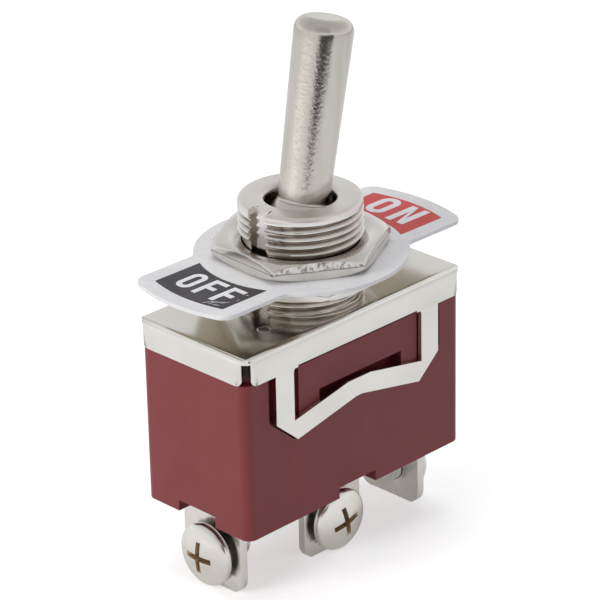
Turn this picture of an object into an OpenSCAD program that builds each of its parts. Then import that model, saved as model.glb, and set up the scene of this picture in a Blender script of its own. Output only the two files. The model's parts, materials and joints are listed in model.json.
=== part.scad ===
// Panel toggle switch with a bat lever, a 12 mm threaded bushing, two hex nuts,
// an ON/OFF indicator plate and three screw terminals.
//
// Frame: Z is the bushing's axis, pointing up out of the panel. X runs along the
// body, towards the ON side. Z = 0 is the lower edge of the terminals, which the
// switch stands on. The lever is drawn in its ON position.

/* [Body] */
// Length of the moulded body along X
body_l = 29.3; // [28.9:0.1:30.5]
// Width of the moulded body along Y
body_w = 14.1; // [13.9:0.1:15]
// Height of the body and its cover, from the underside to the cover's top
body_h = 19.0; // [19:0.1:22]
// Radius of the body's upright corners
body_corner_r = 1.0; // [0.5:0.1:1.4]
// Radius of the upright corners of the body's shoulder, under the cover
shoulder_corner_r = 2.4; // [1:0.1:3]
// Thickness of the body's end walls
end_wall = 1.75; // [1.5:0.05:1.8]
// Half the width of the cavity along Y
cavity_half_w = 5.0; // [4.9:0.05:5.2]
// Height of the cavity's floor above the body's underside
floor_h = 5.5; // [5:0.1:6]
// Width of the notch above each terminal
foot_notch_w = 5.0; // [4:0.1:5.4]
// Height of the notch above each terminal
foot_notch_h = 1.15; // [0.6:0.05:1.6]

/* [Cover frame] */
// Length of the sheet-metal cover along X
cover_l = 29.7; // [29.5:0.1:31]
// Width of the sheet-metal cover along Y
cover_w = 14.9; // [14.7:0.1:16]
// Thickness of the cover's sheet
sheet = 0.5; // [0.4:0.05:0.6]
// Outer radius of the cover's bends
bend_r = 0.8; // [0.6:0.05:1]
// Depth of the flaps below the cover's top
flap_d = 2.87; // [2.5:0.05:3.2]
// Gap left at each corner between the flap's edge and the corner
corner_slit = 1.0; // [0.6:0.05:1.2]
// Depth of the top's corners, above the slits
web_d = 0.65; // [0.5:0.05:0.8]
// Distance that the top's corners stand back from the flaps' outer faces
web_inset = 0.1; // [0.05:0.05:0.3]
// Radius of the top's corners
web_corner_r = 0.7; // [0.4:0.1:1]
// Radius of the flaps' lower corners
flap_corner_r = 0.35; // [0.1:0.05:0.5]
// Half the outer width of the side loops
loop_half = 11.04; // [10.5:0.05:11.6]
// Depth at which the loop's outer edge turns inwards
loop_turn_d = 7.9; // [7.5:0.05:8.2]
// Half the distance between the loop's two lower points
loop_tip_half = 8.3; // [8:0.05:9]
// Depth of the loop's lower points
loop_tip_d = 10.27; // [10:0.05:10.6]
// Half the width of the loop's window
window_half = 8.68; // [8.2:0.05:8.9]
// Depth of the window's upper edge
window_top_d = 2.66; // [2.4:0.02:2.8]
// Depth of the window's lower corners
window_low_d = 8.2; // [8:0.05:8.6]
// Rise of the middle of the crossbar's lower edge above its ends
bar_rise = 1.6; // [0.6:0.05:1.6]
// Rise of the middle of the crossbar's upper edge above its ends
window_rise = 1.4; // [0.6:0.05:1.6]
// Half the length of the level stretch in the middle of the crossbar's upper edge
window_flat = 1.5; // [0.4:0.1:2]
// Half the length of the level stretch in the middle of the crossbar's lower edge
bar_flat = 0.4; // [0.2:0.1:1]

/* [Loop recess] */
// Gap beside the loop's uprights
recess_gap = 0.6; // [0.4:0.05:1.2]
// Rise of the recess's outer corners above the loop's turn
recess_rise = 0.4; // [0:0.05:0.6]
// Distance of the recess floor from the body's middle plane
recess_floor = 6.45; // [6.3:0.05:6.6]
// Half the width of the raised pad inside the window
pad_half = 8.08; // [7.6:0.02:8.1]
// Offset of the pad towards the ON side
pad_shift = 0.5; // [0:0.05:0.5]
// Depth of the pad's upper edge
pad_top_d = 3.15; // [3:0.05:3.6]
// Depth of the pad's lower edge
pad_low_d = 8.2; // [7.8:0.05:8.5]
// Half the width of the notch in the pad
pad_notch_half = 5.6; // [4.5:0.1:6]
// Distance of the notch's floor from the body's middle plane
pad_notch_floor = 5.5; // [5.4:0.05:6.2]
// Offset of the notch towards the ON side
pad_notch_shift = 0.75; // [0:0.05:0.8]
// Depth of the notch's upper edge
pad_notch_d = 6.45; // [6:0.05:7]

/* [Bushing and nuts] */
// Outer radius of the threaded bushing
bush_r = 6.0; // [5.9:0.05:6.1]
// Radius of the bushing's thread inside a nut
mesh_r = 5.7; // [5.6:0.05:5.75]
// Height of the bushing above the cover
bush_h = 9.85; // [9.5:0.05:12]
// Radius of the bushing's bore
bush_bore_r = 3.4; // [3.35:0.01:3.5]
// Size of the bevel round the bushing's mouth
bush_bevel = 0.3; // [0.1:0.05:0.5]
// Width of the bushing's keyway
keyway_w = 2.2; // [1.6:0.1:2.4]
// Depth of the bushing's keyway
keyway_d = 0.9; // [0.6:0.05:1]
// Radius of the bushing's neck in the cover
neck_r = 4.6; // [4.55:0.01:4.65]
// Radius of the lip that holds the bushing under the cover
lip_r = 4.85; // [4.75:0.01:4.88]
// Height of that lip
lip_h = 0.85; // [0.6:0.05:1]
// Distance across the flats of the hex nuts
nut_af = 15.2; // [14.4:0.1:16]
// Thickness of each nut
nut_h = 1.8; // [1.6:0.05:2]
// Depth of the bevel at the nuts' corners
nut_bevel = 0.45; // [0.2:0.05:0.7]
// Depth of the countersink round the nuts' bores
nut_sink = 0.45; // [0.2:0.05:0.6]
// Height of the back nut above the cover
back_nut_z = 2.1; // [1:0.05:2.5]
// Turn of the back nut about the bushing
back_nut_turn = 1.2; // [0:0.1:60]
// Turn of the front nut about the bushing
front_nut_turn = 27.1; // [0:0.1:60]

/* [Indicator plate] */
// Thickness of the indicator plate
plate_t = 0.4; // [0.3:0.05:0.6]
// Radius of the plate's round middle
plate_ring_r = 10.3; // [9.6:0.1:11]
// Radius of the plate's outer ends
plate_end_r = 16.8; // [16:0.1:18]
// Half the width of the plate's ends
plate_half_w = 6.3; // [6:0.1:6.8]
// Radius of the corners of the plate's ends
plate_corner_r = 1.6; // [1:0.1:2]
// Radius of the fillets between the plate's middle and its ends
plate_fillet_r = 1.0; // [0.5:0.1:2]
// Turn of the plate about the bushing
plate_turn = -0.9; // [-2:0.1:2]
// Border between the coloured fields and the plate's ends
field_border = 1.63; // [1.2:0.05:2]
// Border between the coloured fields and the plate's straight sides
field_side_border = 1.74; // [1.2:0.05:2]
// Distance that the coloured fields reach inside the plate's round middle
field_inset = 0.3; // [0:0.05:0.6]
// Depth of the coloured fields in the plate
field_t = 0.1; // [0.05:0.01:0.15]

/* [Lever] */
// Lean of the lever from upright in its ON and OFF positions
lean = 11; // [9:0.5:11]
// Height of the lever's pivot above the cover
pivot_h = 7.0; // [6.9:0.05:7.2]
// Radius of the lever's ball
ball_r = 3.3; // [3.1:0.01:3.32]
// Radius of the lever where it leaves the ball
root_r = 2.42; // [2.3:0.01:2.5]
// Radius of the lever near its tip
tip_r = 2.85; // [2.6:0.01:3.2]
// Distance of the lever's end from the pivot
lever_l = 19.9; // [15:0.1:22]
// Radius of the rounding at the lever's end
tip_round = 1.3; // [0.8:0.1:1.8]
// Radius of the lever's tail
tail_r = 1.66; // [1.55:0.01:1.68]
// Distance of the tail's end from the pivot
tail_l = 14.2; // [12.5:0.1:14.8]
// Solid length of the tail between the ball and its bore
tail_web = 0.8; // [0.5:0.1:1.2]
// Radius of the pivot pin
pin_r = 0.8; // [0.6:0.05:0.9]
// Half the length of the pivot pin
pin_half = 3.9; // [3.7:0.05:3.95]

/* [Plunger and spring] */
// Radius of the plunger in the tail
plunger_r = 1.0; // [0.95:0.01:1.02]
// Radius of the plunger's round end
plunger_tip_r = 0.85; // [0.7:0.05:0.9]
// Travel of the plunger into the tail
plunger_travel = 1.0; // [0.4:0.1:1.2]
// Distance of the plunger's upper end from the pivot
plunger_top = 11.0; // [10:0.1:11.4]
// Radius of the spring's wire
wire_r = 0.16; // [0.1:0.01:0.18]
// Radius of the spring's coil, to the wire's centre
coil_r = 0.75; // [0.7:0.01:0.78]
// Number of turns in the spring
coil_turns = 7; // [4:1:9]

/* [Contacts] */
// Angle of the rocker's arms, and of its tilt
rocker_tilt = 8; // [6:0.5:9]
// Thickness of the rocker
rocker_t = 0.8; // [0.6:0.05:0.9]
// Width of the rocker along Y
rocker_w = 4.8; // [4:0.1:4.8]
// Length of each of the rocker's arms
rocker_arm = 9.9; // [9.6:0.1:10.5]
// Height of the rocker's pivot above the cavity's floor
rocker_h = 2.3; // [2.1:0.05:2.6]
// Radius of the ridge that the rocker tilts on
ridge_r = 0.55; // [0.5:0.01:0.6]
// Gap from the ridge's centre to the rocker's underside
ridge_cover = 0.35; // [0.3:0.01:0.4]
// Thickness of the saddle's cheeks
cheek_t = 0.45; // [0.3:0.05:0.5]
// Width of the saddle's cheeks
cheek_w = 3.0; // [2:0.1:4]
// Height of the saddle's cheeks above the rocker's pivot
cheek_h = 1.8; // [1.2:0.1:2.2]
// Distance of the contacts from the middle
contact_x = 8.0; // [7.5:0.1:8.4]
// Radius of the fixed contacts
fixed_contact_r = 1.6; // [1.3:0.1:1.8]
// Radius of the moving contacts
moving_contact_r = 1.4; // [1.2:0.1:1.6]
// Thickness of the moving contacts' heads
moving_contact_h = 0.5; // [0.3:0.05:0.6]

/* [Terminals and screws] */
// Length of the terminals below the body
terminal_reach = 7.6; // [7:0.1:9]
// Width of the terminals below the body
terminal_w = 7.7; // [7:0.1:7.8]
// Thickness of the terminals
terminal_t = 0.9; // [0.8:0.05:1]
// Radius of the terminals' lower corners
terminal_corner_r = 1.6; // [1:0.1:1.8]
// Width of the terminals inside the body
stem_w = 4.8; // [4:0.1:4.8]
// Distance of the end terminals' outer faces from the middle
end_terminal_x = 12.8; // [12.4:0.05:12.85]
// Distance of the middle terminal's outer face from the middle
mid_terminal_y = 3.55; // [3.3:0.05:3.8]
// Radius of the screws' threads
screw_r = 1.75; // [1.5:0.05:2]
// Radius of the screws' heads
head_r = 3.2; // [3:0.05:3.3]
// Height of the straight rim of the screws' heads
head_rim = 0.75; // [0.6:0.05:1.2]
// Height of the dome of the screws' heads
head_dome = 0.9; // [0.5:0.05:1]
// Length of the screws' cross recess
recess_l = 3.9; // [3:0.1:4.4]
// Width of the screws' cross recess
recess_w = 0.7; // [0.5:0.05:0.9]
// Depth of the screws' cross recess
recess_d = 1.3; // [0.8:0.05:1.6]
// Turn of the middle screw's recess from upright
mid_screw_turn = 12; // [0:1:90]
// Gap for a wire between head and terminal
wire_gap = 0.45; // [0.3:0.05:0.8]
// Height of the screws above the terminals' lower edge
screw_z = 3.45; // [3.3:0.05:4.2]
// Length of the screws past the terminal's inner face
screw_tail = 2.8; // [2:0.1:3.4]

/* [Hidden] */
// Angle at which the terminals' round corners meet their lower edge
corner_meet = 25;
// Clearances, each named for the fit it makes
sheet_gap = 0.05;    // cover's sheet over the body
slot_gap = 0.03;     // terminals in the body's slots
mesh_gap = 0.02;     // meshed threads
neck_gap = 0.03;     // bushing's neck in the cover
pin_press = 0.01;    // pivot pin in the lever's ball
pin_gap = 0.05;      // pivot pin in the bushing's grooves
plunger_gap = 0.04;  // plunger in the lever's tail
ridge_gap = 0.05;    // rocker on its ridge
cheek_gap = 0.1;     // rocker between the saddle's cheeks
rivet_gap = 0.02;    // rivets in their holes
contact_gap = 0.05;  // closed contacts, just short of touching
drag_gap = 0.1;      // plunger over the rocker's middle
field_gap = 0.02;    // printed fields in the plate

cover_top = terminal_reach + body_h;
body_top = cover_top - sheet;
body_z = terminal_reach;
floor_z = body_z + floor_h;
cavity_half_l = body_l / 2 - end_wall;
inner_half_l = cover_l / 2 - sheet - sheet_gap;
inner_half_w = cover_w / 2 - sheet - sheet_gap;

field_in_r = plate_ring_r - field_inset;
field_out_r = plate_end_r - field_border;
field_half_w = plate_half_w - field_side_border;

plate_z = cover_top + back_nut_z + nut_h;
front_nut_z = plate_z + plate_t;
thread_free_z = front_nut_z + nut_h + mesh_gap;
bush_top = cover_top + bush_h;
bush_low = body_top - lip_h;

pivot_z = cover_top + pivot_h;
shelf_top = floor_z + terminal_t;
rocker_z = floor_z + rocker_h;
// Height of the rocker's upper faces over its pivot, where the arms meet
rocker_top = ridge_cover + rocker_t / cos(rocker_tilt);
// Distance of the plunger's round end from the pivot: it clears the rocker's middle
plunger_tip = pivot_z - rocker_z - rocker_top
            - (plunger_tip_r + drag_gap) / cos(rocker_tilt);
fixed_contact_h = rocker_z + ridge_cover * cos(rocker_tilt)
                - moving_contact_h - contact_gap - shelf_top;
tail_bore_top = ball_r + tail_web;

$fn = 48;

// ---------- shared shapes ----------

// A rectangle centred on the origin with round corners
module rounded_rect(l, w, r) {
    square([l - 2 * r, w], center = true);
    square([l, w - 2 * r], center = true);
    for (x = [-1, 1], y = [-1, 1])
        translate([x * (l / 2 - r), y * (w / 2 - r)]) circle(r);
}

// A box on z0 with round upright corners
module upright_block(l, w, r, z0, h)
    translate([0, 0, z0]) linear_extrude(h) rounded_rect(l, w, r);

// A slab in the XZ plane, its back face at y = y0, t thick towards +Y
module xz_slab(y0, t)
    translate([0, y0 + t, 0]) rotate([90, 0, 0]) linear_extrude(t) children();

// What follows, once on the front and once turned to the back
module both_sides() {
    children();
    mirror([0, 1, 0]) children();
}

// Lays the lever's own axis, drawn upright at the origin, into the ON position
module at_lever()
    translate([0, 0, pivot_z]) rotate([0, lean, 0]) children();

// Lays the rocker, drawn level about its pivot, into the ON position
module at_rocker()
    translate([0, 0, rocker_z]) rotate([0, -rocker_tilt, 0]) children();

// ---------- body ----------

// Outline of the recess round the side loop, in X and depth
module recess_outline() {
    half = loop_half + recess_gap;
    polygon([[-half, -sheet], [-half, recess_rise - loop_turn_d], [-loop_half - 0.1, -loop_turn_d - 0.15],
             [-loop_tip_half - 0.05, -loop_tip_d - 0.12], [0, bar_rise - loop_tip_d - 0.15],
             [loop_tip_half + 0.05, -loop_tip_d - 0.12], [loop_half + 0.1, -loop_turn_d - 0.15],
             [half, recess_rise - loop_turn_d], [half, -sheet]]);
}

// Outline of the pad that stands inside the loop's window
module pad_outline()
    difference() {
        translate([pad_shift - pad_half, -pad_low_d]) square([2 * pad_half, pad_low_d - pad_top_d]);
        notch_outline(1);
    }

// Outline of the notch in the pad, reaching drop below the pad's lower edge
module notch_outline(drop)
    translate([pad_notch_shift - pad_notch_half, -pad_low_d - drop])
        square([2 * pad_notch_half, pad_low_d + drop - pad_notch_d]);

module housing()
    color("#7a3f42")
    difference() {
        union() {
            upright_block(body_l, body_w, body_corner_r, body_z, body_h - flap_d - sheet_gap);
            upright_block(2 * inner_half_l, 2 * inner_half_w, shoulder_corner_r, body_z, body_h - bend_r);
            // the top steps in, clear of the cover's bends
            upright_block(2 * (inner_half_l - bend_r + sheet), 2 * (inner_half_w - bend_r + sheet),
                          shoulder_corner_r, body_z, body_h - sheet);
        }
        // cavity for the contacts
        upright_block(2 * cavity_half_l, 2 * cavity_half_w, 0.6, floor_z, body_h);
        // recesses for the side loops, leaving the pads
        both_sides() translate([0, 0, cover_top])
            xz_slab(-body_w, body_w - recess_floor)
                difference() { recess_outline(); pad_outline(); }
        both_sides() translate([0, 0, cover_top]) {
            xz_slab(-body_w, body_w - inner_half_w) pad_outline();
            xz_slab(-body_w, body_w - pad_notch_floor) notch_outline(0);
        }
        // notches above the terminals
        for (s = [-1, 1])
            translate([s > 0 ? end_terminal_x : -body_l, -foot_notch_w / 2, body_z - 1])
                cube([body_l - end_terminal_x, foot_notch_w, foot_notch_h + 1]);
        translate([-foot_notch_w / 2, -body_w, body_z - 1])
            cube([foot_notch_w, body_w - mid_terminal_y, foot_notch_h + 1]);
        // slots for the terminals
        for (s = [-1, 1])
            translate([s * (end_terminal_x - terminal_t / 2), 0, body_z])
                cube([terminal_t + 2 * slot_gap, stem_w + 2 * slot_gap, 2 * floor_h], center = true);
        translate([0, terminal_t / 2 - mid_terminal_y, body_z])
            cube([stem_w + 2 * slot_gap, terminal_t + 2 * slot_gap, 2 * floor_h], center = true);
    }

// ---------- cover frame ----------

// Outline of a folded channel's outside: a flat top with a flap down each side
module channel_outside(w) {
    translate([-w / 2, -flap_d]) square([w, flap_d - bend_r]);
    translate([bend_r - w / 2, -bend_r]) square([w - 2 * bend_r, bend_r]);
    for (s = [-1, 1]) translate([s * (w / 2 - bend_r), -bend_r]) circle(bend_r);
}

// Outline of its inside, open below
module channel_inside(w) {
    inner = w - 2 * sheet;
    inner_r = bend_r - sheet;
    translate([-inner / 2, -flap_d - 1]) square([inner, flap_d + 1 - sheet - inner_r]);
    translate([inner_r - inner / 2, -flap_d]) square([inner - 2 * inner_r, flap_d - sheet]);
    for (s = [-1, 1]) translate([s * (inner / 2 - inner_r), -sheet - inner_r]) circle(inner_r);
}

module channel_section(w)
    difference() {
        channel_outside(w);
        channel_inside(w);
    }

// Lays an outline of a channel along X
module along_x(l) rotate([90, 0, 90]) linear_extrude(l, center = true) children();

// The top's corners, where both bends meet above the slits
module corner_web()
    difference() {
        intersection() {
            along_x(cover_l) channel_outside(cover_w);
            rotate([0, 0, 90]) along_x(cover_w) channel_outside(cover_l);
            upright_block(cover_l - 2 * web_inset, cover_w - 2 * web_inset, web_corner_r,
                          -web_d, web_d + 1);
        }
        intersection() {
            along_x(cover_l) channel_inside(cover_w);
            rotate([0, 0, 90]) along_x(cover_w) channel_inside(cover_l);
        }
    }

// Rounds off the lower corners of a pair of flaps l long
module flap_corner_cuts(l, w)
    for (x = [-1, 1])
        translate([x * (l / 2 - flap_corner_r), w / 2 + 1, flap_corner_r - flap_d])
            rotate([90, 0, 0]) linear_extrude(w + 2)
                difference() {
                    translate([x > 0 ? 0 : -2 * flap_corner_r, -2 * flap_corner_r])
                        square(2 * flap_corner_r);
                    circle(flap_corner_r);
                }

// A channel l long across X and w wide across Y, hung from z = 0
module flap_channel(l, w)
    difference() {
        along_x(l) channel_section(w);
        flap_corner_cuts(l, w);
    }

// The loop that hangs from a long flap
module loop_outline()
    difference() {
        polygon([[-loop_half, -bend_r], [-loop_half, -loop_turn_d],
                 [-loop_tip_half, -loop_tip_d], [-bar_flat, bar_rise - loop_tip_d],
                 [bar_flat, bar_rise - loop_tip_d], [loop_tip_half, -loop_tip_d],
                 [loop_half, -loop_turn_d], [loop_half, -bend_r]]);
        window_r = 0.6;
        polygon([[-window_half, -window_top_d - window_r], [-window_half, -window_low_d],
                 [-window_flat, window_rise - window_low_d], [window_flat, window_rise - window_low_d],
                 [window_half, -window_low_d], [window_half, -window_top_d - window_r]]);
        translate([window_r - window_half, -window_top_d - window_r - 0.5])
            square([2 * (window_half - window_r), window_r + 0.5]);
        for (s = [-1, 1])
            translate([s * (window_half - window_r), -window_top_d - window_r]) circle(window_r);
    }

module cover_frame()
    color("#d9d6cf")
    translate([0, 0, cover_top])
    difference() {
        union() {
            corner_web();
            flap_channel(cover_l - 2 * corner_slit, cover_w);
            rotate([0, 0, 90]) flap_channel(cover_w - 2 * corner_slit, cover_l);
            both_sides() xz_slab(-cover_w / 2, sheet) loop_outline();
        }
        // the window cuts into the flap above it
        both_sides() xz_slab(-cover_w / 2 - 1, sheet + 1.1)
            translate([0.6 - window_half, -flap_d - 0.1])
                square([2 * (window_half - 0.6), flap_d + 0.1 - window_top_d]);
        cylinder(h = 4, r = neck_r + neck_gap, center = true);
    }

// ---------- bushing, nuts and indicator plate ----------

module bushing()
    color("#cfcac0")
    difference() {
        union() {
            translate([0, 0, bush_low]) cylinder(h = cover_top - bush_low + 1, r = neck_r);
            translate([0, 0, bush_low]) cylinder(h = lip_h - neck_gap, r = lip_r);
            translate([0, 0, cover_top]) cylinder(h = back_nut_z - mesh_gap, r = bush_r);
            translate([0, 0, cover_top + 1]) cylinder(h = bush_h - 2, r = mesh_r);
            translate([0, 0, thread_free_z])
                cylinder(h = bush_top - bush_bevel - thread_free_z, r = bush_r);
            translate([0, 0, bush_top - bush_bevel])
                cylinder(h = bush_bevel, r1 = bush_r, r2 = bush_r - bush_bevel);
        }
        translate([0, 0, bush_low - 1]) cylinder(h = bush_top - bush_low + 2, r = bush_bore_r);
        // keyway on the OFF side
        translate([-bush_r - 1, -keyway_w / 2, cover_top])
            cube([keyway_d + 1, keyway_w, bush_h + 1]);
        // grooves that the pivot pin's ends run up, closed at the pivot
        groove_r = pin_r + pin_gap;
        groove_half = pin_half + pin_gap;
        translate([0, 0, pivot_z]) rotate([90, 0, 0])
            cylinder(h = 2 * groove_half, r = groove_r, center = true);
        translate([-groove_r, -groove_half, bush_low - 1])
            cube([2 * groove_r, 2 * groove_half, pivot_z - bush_low + 1]);
    }

// A hex nut on z = 0, its corners bevelled above and below
module hex_nut() {
    corner_r = nut_af / 2 / cos(30);
    face_r = nut_af / 2 - 0.15;
    difference() {
        intersection() {
            cylinder(h = nut_h, r = corner_r, $fn = 6);
            rotate_extrude()
                polygon([[0, 0], [face_r, 0], [corner_r, nut_bevel],
                         [corner_r, nut_h - nut_bevel], [face_r, nut_h], [0, nut_h]]);
        }
        bore_r = mesh_r + mesh_gap;
        translate([0, 0, -1]) cylinder(h = nut_h + 2, r = bore_r);
        translate([0, 0, nut_h - nut_sink]) cylinder(h = 2 * nut_sink, r1 = bore_r, r2 = bore_r + 3 * nut_sink);
    }
}

module back_nut()
    color("#cdc9c1")
    translate([0, 0, cover_top + back_nut_z]) rotate(back_nut_turn) hex_nut();

module front_nut()
    color("#cdc9c1")
    translate([0, 0, front_nut_z]) rotate(front_nut_turn) hex_nut();

// Points on an arc about c, from angle a0 to a1, in n steps
function arc(c, r, a0, a1, n) =
    [for (i = [0 : n]) let (a = a0 + (a1 - a0) * i / n) c + r * [cos(a), sin(a)]];

// A quarter of the plate's outline, from its end on the X axis round to the Y axis:
// end arc, corner, straight side, fillet and ring
function plate_quarter() =
    let (cy = plate_half_w - plate_corner_r,
         corner = [sqrt(pow(plate_end_r - plate_corner_r, 2) - cy * cy), cy],
         fy = plate_half_w + plate_fillet_r,
         fillet = [sqrt(pow(plate_ring_r + plate_fillet_r, 2) - fy * fy), fy],
         a_corner = atan2(corner.y, corner.x),
         a_fillet = atan2(fillet.y, fillet.x))
    concat(arc([0, 0], plate_end_r, 0, a_corner, 6),
           arc(corner, plate_corner_r, a_corner + 10, 90, 7),
           arc(fillet, plate_fillet_r, 270, 180 + a_fillet, 5),
           arc([0, 0], plate_ring_r, a_fillet + 3, 90, 16));

module plate_outline() {
    q = plate_quarter();
    n = len(q);
    polygon(concat(
        q,
        [for (i = [n - 2 : -1 : 0]) [-q[i].x, q[i].y]],
        [for (i = [1 : n - 1]) [-q[i].x, -q[i].y]],
        [for (i = [n - 2 : -1 : 1]) [q[i].x, -q[i].y]]));
}

// One coloured field, grown by d
module field_shape(d)
    intersection() {
        difference() {
            circle(field_out_r + d, $fn = 96);
            circle(field_in_r - d, $fn = 96);
        }
        translate([0, -field_half_w - d]) square([plate_end_r, 2 * (field_half_w + d)]);
    }

module field(side)
    translate([0, 0, plate_z + plate_t - field_t]) rotate(plate_turn + (side > 0 ? 0 : 180))
        linear_extrude(field_t) field_shape(0);

module indicator_plate()
    color("#f2f1f3")
    difference() {
        translate([0, 0, plate_z]) rotate(plate_turn) linear_extrude(plate_t) plate_outline();
        // the hole keeps a key for the bushing's keyway
        difference() {
            translate([0, 0, plate_z - 1]) cylinder(h = plate_t + 2, r = mesh_r + 0.1);
            translate([-bush_r - 1, -keyway_w / 2 + 0.3, plate_z - 1])
                cube([bush_r + 1 - mesh_r + 0.35, keyway_w - 0.6, plate_t + 2]);
        }
        for (a = [0, 180])
            translate([0, 0, plate_z + plate_t - field_t]) rotate(plate_turn + a)
                linear_extrude(1) field_shape(field_gap);
    }

module off_field() color("#3f3b3e") field(-1);

module on_field() color("#d0433f") field(1);

// ---------- lever ----------

module lever()
    color("#d2cec4")
    at_lever() difference() {
        union() {
            sphere(ball_r);
            // the bat, thicker towards its tip, with a round end
            cylinder(h = lever_l - tip_round, r1 = root_r, r2 = tip_r);
            translate([0, 0, lever_l - tip_round]) {
                rotate_extrude() translate([tip_r - tip_round, 0]) circle(tip_round);
                cylinder(h = tip_round, r = tip_r - tip_round);
            }
            translate([0, 0, -tail_l]) cylinder(h = tail_l, r = tail_r);
        }
        translate([0, 0, -tail_l - 1])
            cylinder(h = tail_l + 1 - tail_bore_top, r = plunger_r + plunger_gap);
        rotate([90, 0, 0]) cylinder(h = 3 * ball_r, r = pin_r + pin_press, center = true);
    }

module pivot_pin()
    color("#a9a59c")
    translate([0, 0, pivot_z]) rotate([90, 0, 0])
        cylinder(h = 2 * pin_half, r = pin_r, center = true);

module plunger()
    color("#e8e2d0")
    at_lever() {
        translate([0, 0, -plunger_tip]) {
            sphere(plunger_tip_r);
            cylinder(h = 2.4, r = plunger_tip_r);
        }
        translate([0, 0, -plunger_tip + 2.4])
            cylinder(h = plunger_tip - 2.4 - plunger_top, r = plunger_r);
    }

// A wire of radius r wound n turns about Z, from z = 0 to h
module coil(mean_r, r, n, h) {
    steps = 20 * n;
    sides = 8;
    rise = (h - 2 * r) / steps;
    points = [for (i = [0 : steps]) for (k = [0 : sides - 1])
        let (a = 360 * i / 20, t = 360 * k / sides)
        [(mean_r + r * cos(t)) * cos(a), (mean_r + r * cos(t)) * sin(a),
         r + i * rise + r * sin(t)]];
    walls = [for (i = [0 : steps - 1]) for (k = [0 : sides - 1])
        let (j = (k + 1) % sides)
        each [[i * sides + k, (i + 1) * sides + k, (i + 1) * sides + j],
              [i * sides + k, (i + 1) * sides + j, i * sides + j]]];
    ends = [[for (k = [0 : sides - 1]) k],
            [for (k = [0 : sides - 1]) steps * sides + sides - 1 - k]];
    polyhedron(points, concat(walls, ends), convexity = 8);
}

module plunger_spring()
    color("#b9b6ae")
    at_lever() translate([0, 0, -plunger_top])
        coil(coil_r, wire_r, coil_turns, plunger_top - tail_bore_top);

// ---------- contacts ----------

module rocker()
    color("#c59a4a")
    at_rocker() difference() {
        rotate([90, 0, 0]) linear_extrude(rocker_w, center = true) {
            rise = rocker_arm * tan(rocker_tilt);
            polygon([[-rocker_arm, ridge_cover + rise], [0, ridge_cover],
                     [rocker_arm, ridge_cover + rise], [rocker_arm, rocker_top + rise],
                     [0, rocker_top], [-rocker_arm, rocker_top + rise]]);
        }
        rotate([90, 0, 0]) cylinder(h = 2 * rocker_w, r = ridge_r + ridge_gap, center = true);
        for (s = [-1, 1]) on_arm(s)
            cylinder(h = 3, r = moving_contact_r / 2 + rivet_gap, center = true);
    }

// Puts something on the underside of one arm, square to it
module on_arm(s)
    translate([0, 0, ridge_cover]) rotate([0, -s * rocker_tilt, 0])
        translate([s * contact_x, 0, 0]) children();

module rocker_contact(s)
    color("#dcdcdc")
    at_rocker() on_arm(s) {
        translate([0, 0, -moving_contact_h]) cylinder(h = moving_contact_h, r = moving_contact_r);
        cylinder(h = rocker_t, r = moving_contact_r / 2);
        translate([0, 0, rocker_t]) cylinder(h = 0.25, r = moving_contact_r * 0.7);
    }

module rocker_contact_left() rocker_contact(-1);

module rocker_contact_right() rocker_contact(1);

module rocker_saddle()
    color("#c59a4a") {
        cheek_y = rocker_w / 2 + cheek_gap;
        half = cheek_y + cheek_t;
        base = rocker_h - terminal_t - ridge_r;
        translate([-stem_w / 2, -half, shelf_top]) cube([stem_w, 2 * half, base]);
        translate([-ridge_r, -cheek_y, shelf_top]) cube([2 * ridge_r, 2 * cheek_y, rocker_z - shelf_top]);
        translate([0, 0, rocker_z]) rotate([90, 0, 0])
            cylinder(h = 2 * cheek_y, r = ridge_r, center = true);
        for (s = [0, 1]) mirror([0, s, 0])
            translate([-cheek_w / 2, cheek_y, shelf_top])
                cube([cheek_w, cheek_t, rocker_z - shelf_top + cheek_h]);
    }

module fixed_contact(s)
    color("#dcdcdc")
    translate([s * contact_x, 0, floor_z]) {
        cylinder(h = terminal_t, r = fixed_contact_r / 2);
        translate([0, 0, terminal_t]) cylinder(h = fixed_contact_h, r = fixed_contact_r);
    }

module fixed_contact_left() fixed_contact(-1);

module fixed_contact_right() fixed_contact(1);

// ---------- terminals and screws ----------

// Outline of a terminal's leaf below the body: its round corners meet the lower edge at an
// angle, so that it stands on a plain flat
module leaf_outline()
    let (side = terminal_w / 2, c = terminal_corner_r * cos(corner_meet))
    polygon(concat(
        arc([terminal_corner_r - side, c], terminal_corner_r, 180, 270 - corner_meet, 6),
        arc([side - terminal_corner_r, c], terminal_corner_r, 270 + corner_meet, 360, 6),
        [[side, body_z - slot_gap], [-side, body_z - slot_gap]]));

// A terminal whose outer face is x = 0 and faces -X, with a shelf reaching inwards
module terminal(shelf)
    difference() {
        union() {
            rotate([90, 0, 90]) linear_extrude(terminal_t) leaf_outline();
            // stem through the floor, and the shelf that lies on it
            translate([0, -stem_w / 2, 1]) cube([terminal_t, stem_w, shelf_top - 1]);
            translate([0, -stem_w / 2, floor_z]) cube([shelf, stem_w, terminal_t]);
        }
        translate([-1, 0, screw_z]) rotate([0, 90, 0])
            cylinder(h = terminal_t + 2, r = screw_r + mesh_gap);
    }

module end_terminal()
    color("#c9c4b8")
    difference() {
        translate([-end_terminal_x, 0, 0]) terminal(end_terminal_x - contact_x + fixed_contact_r);
        translate([-contact_x, 0, floor_z - 1])
            cylinder(h = terminal_t + 2, r = fixed_contact_r / 2 + rivet_gap);
    }

module terminal_left() end_terminal();

module terminal_right() rotate([0, 0, 180]) end_terminal();

module terminal_middle()
    color("#c9c4b8")
    rotate([0, 0, 90]) translate([-mid_terminal_y, 0, 0]) terminal(mid_terminal_y + 2.6);

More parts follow.
